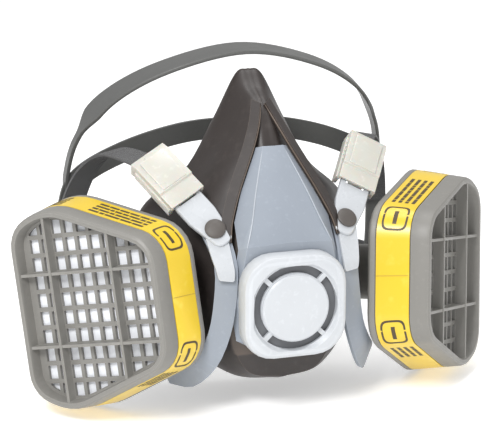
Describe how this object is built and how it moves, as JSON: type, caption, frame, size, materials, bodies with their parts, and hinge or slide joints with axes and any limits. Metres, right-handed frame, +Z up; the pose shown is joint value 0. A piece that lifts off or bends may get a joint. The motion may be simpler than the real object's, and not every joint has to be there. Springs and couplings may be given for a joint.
{
  "type": "respirator",
  "caption": "Half-face respirator with side cartridges, faceted front shell, swinging strap arms and a head cradle.",
  "frame": {"origin": "centre of the face seal, where the wearer's face holds the mask", "axes": "+Z up, -Y out of the front of the mask, +X towards the wearer's left cheek"},
  "size_m": [0.2388, 0.1592, 0.1632],
  "materials": {
    "facepiece_rubber": "soft satin moulded rubber",
    "shell_plastic": "satin moulded plastic",
    "cover_plastic": "satin white plastic",
    "arm_plastic": "glossy white plastic",
    "rivet_plastic": "fine matt grain",
    "buckle_plastic": "milky translucent nylon",
    "cartridge_plastic": "matt moulded plastic",
    "label_film": "printed film",
    "filter_felt": "white felt",
    "activated_carbon": "packed black granules",
    "flap_silicone": "thin soft silicone",
    "cradle_plastic": "flexible matt plastic",
    "strap_webbing": "woven elastic webbing",
    "clasp_plastic": "matt plastic"
  },
  "bodies": {
    "root": {"facepiece": "facepiece_rubber", "front_shell": "shell_plastic", "exhalation_seat": "arm_plastic", "arm_rivet_left": "rivet_plastic", "arm_rivet_right": "rivet_plastic", "cartridge_cover_left": "cartridge_plastic", "cartridge_cover_right": "cartridge_plastic", "cartridge_tub_left": "cartridge_plastic", "cartridge_tub_right": "cartridge_plastic", "cartridge_label_left": "label_film", "cartridge_label_right": "label_film", "filter_pad_left": "filter_felt", "filter_pad_right": "filter_felt", "carbon_bed_left": "activated_carbon", "carbon_bed_right": "activated_carbon", "retaining_screen_left": "filter_felt", "retaining_screen_right": "filter_felt", "air_port_left": "cartridge_plastic", "air_port_right": "cartridge_plastic"},
    "valve_cover": {"valve_cover": "cover_plastic"},
    "exhalation_flap": {"exhalation_flap": "flap_silicone"},
    "inhalation_flap_left": {"inhalation_flap_left": "flap_silicone"},
    "arm_left": {"strap_arm_left": "arm_plastic"},
    "buckle_left": {"strap_buckle_left": "buckle_plastic"},
    "inhalation_flap_right": {"inhalation_flap_right": "flap_silicone"},
    "arm_right": {"strap_arm_right": "arm_plastic"},
    "buckle_right": {"strap_buckle_right": "buckle_plastic"},
    "harness": {"head_cradle": "cradle_plastic", "side_strap_left": "strap_webbing", "side_strap_right": "strap_webbing", "neck_strap_left": "strap_webbing", "clasp_loop": "clasp_plastic"},
    "neck_half": {"neck_strap_right": "strap_webbing", "clasp_hook": "clasp_plastic"}
  },
  "joints": [
    {"name": "cover_pull", "type": "slide", "parent": "root", "child": "valve_cover", "axis": [0, -1, 0], "range_m": [0, 0.012]},
    {"name": "exhale_lift", "type": "hinge", "parent": "root", "child": "exhalation_flap", "pos_m": [0, -0.0645, -0.01181], "axis": [-1, 0, 0], "range_deg": [0, 7], "stiffness_Nm_per_rad": 0.003},
    {"name": "inhale_lift_left", "type": "hinge", "parent": "root", "child": "inhalation_flap_left", "pos_m": [0.04631, -0.01833, -0.015], "axis": [0.6742, 0.7089, -0.2071], "range_deg": [0, 8], "stiffness_Nm_per_rad": 0.003},
    {"name": "arm_swing_left", "type": "hinge", "parent": "root", "child": "arm_left", "pos_m": [0.032, -0.0526, 0.009], "axis": [0.1591, -0.7269, 0.6681], "range_deg": [0, 12], "deforming": ["side_strap_left"]},
    {"name": "buckle_swing_left", "type": "hinge", "parent": "arm_left", "child": "buckle_left", "pos_m": [0.04163, -0.03926, 0.02122], "axis": [0.8683, -0.2191, -0.4451], "range_deg": [-4, 8]},
    {"name": "inhale_lift_right", "type": "hinge", "parent": "root", "child": "inhalation_flap_right", "pos_m": [-0.04631, -0.01833, -0.015], "axis": [0.6742, -0.7089, 0.2071], "range_deg": [0, 8], "stiffness_Nm_per_rad": 0.003},
    {"name": "arm_swing_right", "type": "hinge", "parent": "root", "child": "arm_right", "pos_m": [-0.032, -0.0526, 0.009], "axis": [0.1591, 0.7269, -0.6681], "range_deg": [0, 12], "deforming": ["side_strap_right"]},
    {"name": "buckle_swing_right", "type": "hinge", "parent": "arm_right", "child": "buckle_right", "pos_m": [-0.04163, -0.03926, 0.02122], "axis": [0.8683, 0.2191, 0.4451], "range_deg": [-4, 8]},
    {"name": "harness_swing", "type": "hinge", "parent": "root", "child": "harness", "pos_m": [0, -0.02311, 0.02899], "axis": [1, 0, 0], "range_deg": [-12, 25]},
    {"name": "neck_clasp_open", "type": "hinge", "parent": "harness", "child": "neck_half", "pos_m": [-0.083, 0.0382, -0.038], "axis": [0, 0, 1], "range_deg": [0, 60]}
  ]
}
